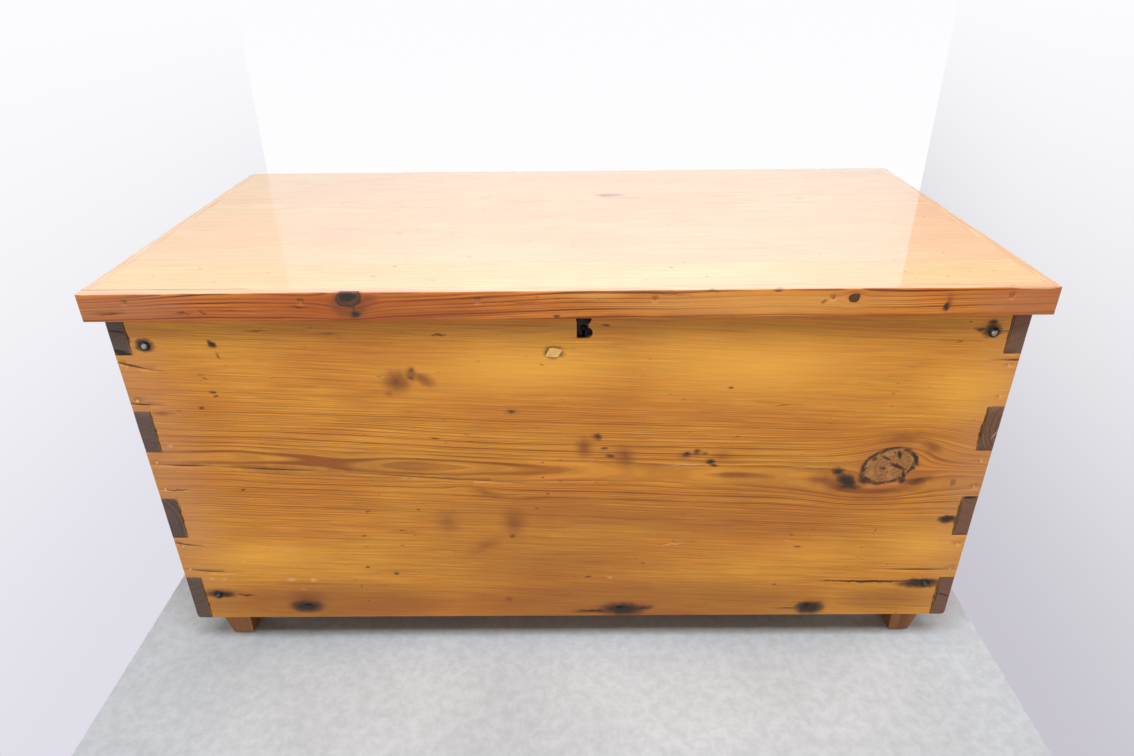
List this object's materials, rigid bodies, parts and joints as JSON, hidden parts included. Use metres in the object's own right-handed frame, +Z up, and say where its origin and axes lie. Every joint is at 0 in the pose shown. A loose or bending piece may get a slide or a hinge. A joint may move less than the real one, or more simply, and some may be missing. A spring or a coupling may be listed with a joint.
{
  "type": "antique blanket chest",
  "caption": "Antique pine blanket chest with finger-jointed walls, hinged lid with applied edge strips, corner posts that end in small feet, and a chest lock.",
  "frame": {"origin": "floor level, under the middle of the lid's outline", "axes": "+X to the chest's right seen from the front, +Y to its back, +Z up"},
  "size_m": [1.22, 0.614, 0.6193],
  "materials": {
    "pine": "satin amber varnish",
    "post_pine": "satin varnish, darker",
    "plug_wood": "pale unstained plug",
    "putty": "light wood filler",
    "lock_iron": "dark iron",
    "hinge_iron": "dark iron",
    "stud_iron": "worn dark iron, polished on the dome",
    "nail_steel": "dull steel"
  },
  "bodies": {
    "case": {"back_board": "pine", "bottom_front_board": "pine", "bottom_middle_board": "pine", "bottom_nails": "nail_steel", "bottom_rear_board": "pine", "corner_post_front_left": "post_pine", "corner_post_front_right": "post_pine", "corner_post_rear_left": "post_pine", "corner_post_rear_right": "post_pine", "finger_brad_fillings": "putty", "finger_brads": "nail_steel", "front_board": "pine", "hinge_case_screws": "nail_steel", "key_post": "lock_iron", "left_hinge_case_leaf": "hinge_iron", "left_hinge_pin": "hinge_iron", "left_side_board": "pine", "lock_cap": "lock_iron", "lock_pillars": "lock_iron", "lock_plate": "lock_iron", "lock_screws": "nail_steel", "lozenge_plug": "plug_wood", "post_nails": "stud_iron", "right_hinge_case_leaf": "hinge_iron", "right_hinge_pin": "hinge_iron", "right_side_board": "pine"},
    "lid": {"lid_front_board": "pine", "lid_rear_board": "pine", "lid_front_strip": "pine", "lid_left_strip": "pine", "lid_right_strip": "pine", "strip_brads": "nail_steel", "strip_brad_fillings": "putty", "left_hinge_lid_leaf": "hinge_iron", "right_hinge_lid_leaf": "hinge_iron", "hinge_lid_screws": "nail_steel", "keeper": "lock_iron", "keeper_screws": "nail_steel"},
    "bolt": {"lock_bolt": "lock_iron", "bolt_spring": "lock_iron"}
  },
  "joints": [
    {"name": "lid_hinge", "type": "hinge", "parent": "case", "child": "lid", "pos_m": [0, 0.2949, 0.59415], "axis": [-1, 0, 0], "range_deg": [0, 105]},
    {"name": "lock_bolt_slide", "type": "slide", "parent": "case", "child": "bolt", "axis": [1, 0, 0], "range_m": [0, 0.009]}
  ]
}
